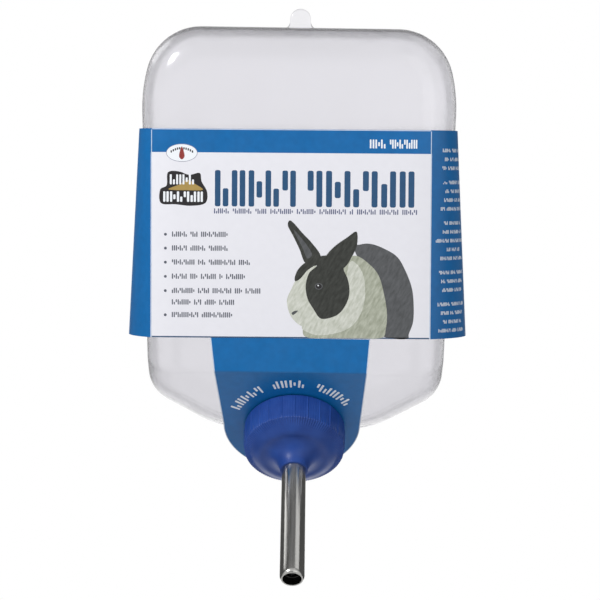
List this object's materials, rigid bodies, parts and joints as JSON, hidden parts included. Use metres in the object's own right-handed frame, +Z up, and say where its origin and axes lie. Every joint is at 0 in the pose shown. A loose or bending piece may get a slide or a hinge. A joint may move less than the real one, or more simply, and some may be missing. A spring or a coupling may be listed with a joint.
{
  "type": "rabbit water bottle",
  "caption": "Hanging clear plastic water bottle with a printed card sleeve, a blue screw cap and a slanted steel drinking tube with a ball valve.",
  "frame": {"origin": "centre of the round end of the hanging tab, in the bottle's mid plane", "axes": "+Z up as it hangs, -Y towards the cage, where the drinking tube points, +X to the right when seen from the cage side"},
  "size_m": [0.1798, 0.1216, 0.2952],
  "materials": {
    "clear_bottle": "clear, blow-moulded",
    "printed_card": "coated, printed",
    "blue_cap": "satin gloss, moulded",
    "steel": "stainless, drawn",
    "polished_steel": "polished",
    "rubber": "matt",
    "white_plastic": "moulded"
  },
  "bodies": {
    "bottle": {"bottle_shell": "clear_bottle", "card_front_panel": "printed_card", "card_back_panel": "printed_card", "card_left_panel": "printed_card", "card_right_panel": "printed_card", "card_tongue_upper": "printed_card", "card_tongue_collar": "printed_card"},
    "gasket": {"cap_gasket": "rubber"},
    "cap": {"cap": "blue_cap", "sipper_tube": "steel", "tube_seal": "rubber", "tube_retainer": "white_plastic", "valve_seat": "steel", "ball_stop": "steel"},
    "ball": {"valve_ball": "polished_steel"}
  },
  "joints": [
    {"name": "cap_lift", "type": "slide", "parent": "bottle", "child": "gasket", "axis": [0, -0.7431, -0.6691], "range_m": [0, 0.0061]},
    {"name": "cap_spin", "type": "hinge", "parent": "gasket", "child": "cap", "pos_m": [0, -0.0064, -0.2172], "axis": [0, -0.7431, -0.6691], "range_deg": [0, 540]},
    {"name": "ball_push", "type": "slide", "parent": "cap", "child": "ball", "axis": [0, 0.7431, 0.6691], "range_m": [0, 0.003]}
  ],
  "couplings": [
    {"joint": "cap_lift", "follows": "cap_spin", "m_per_rad": 0.00063662}
  ]
}
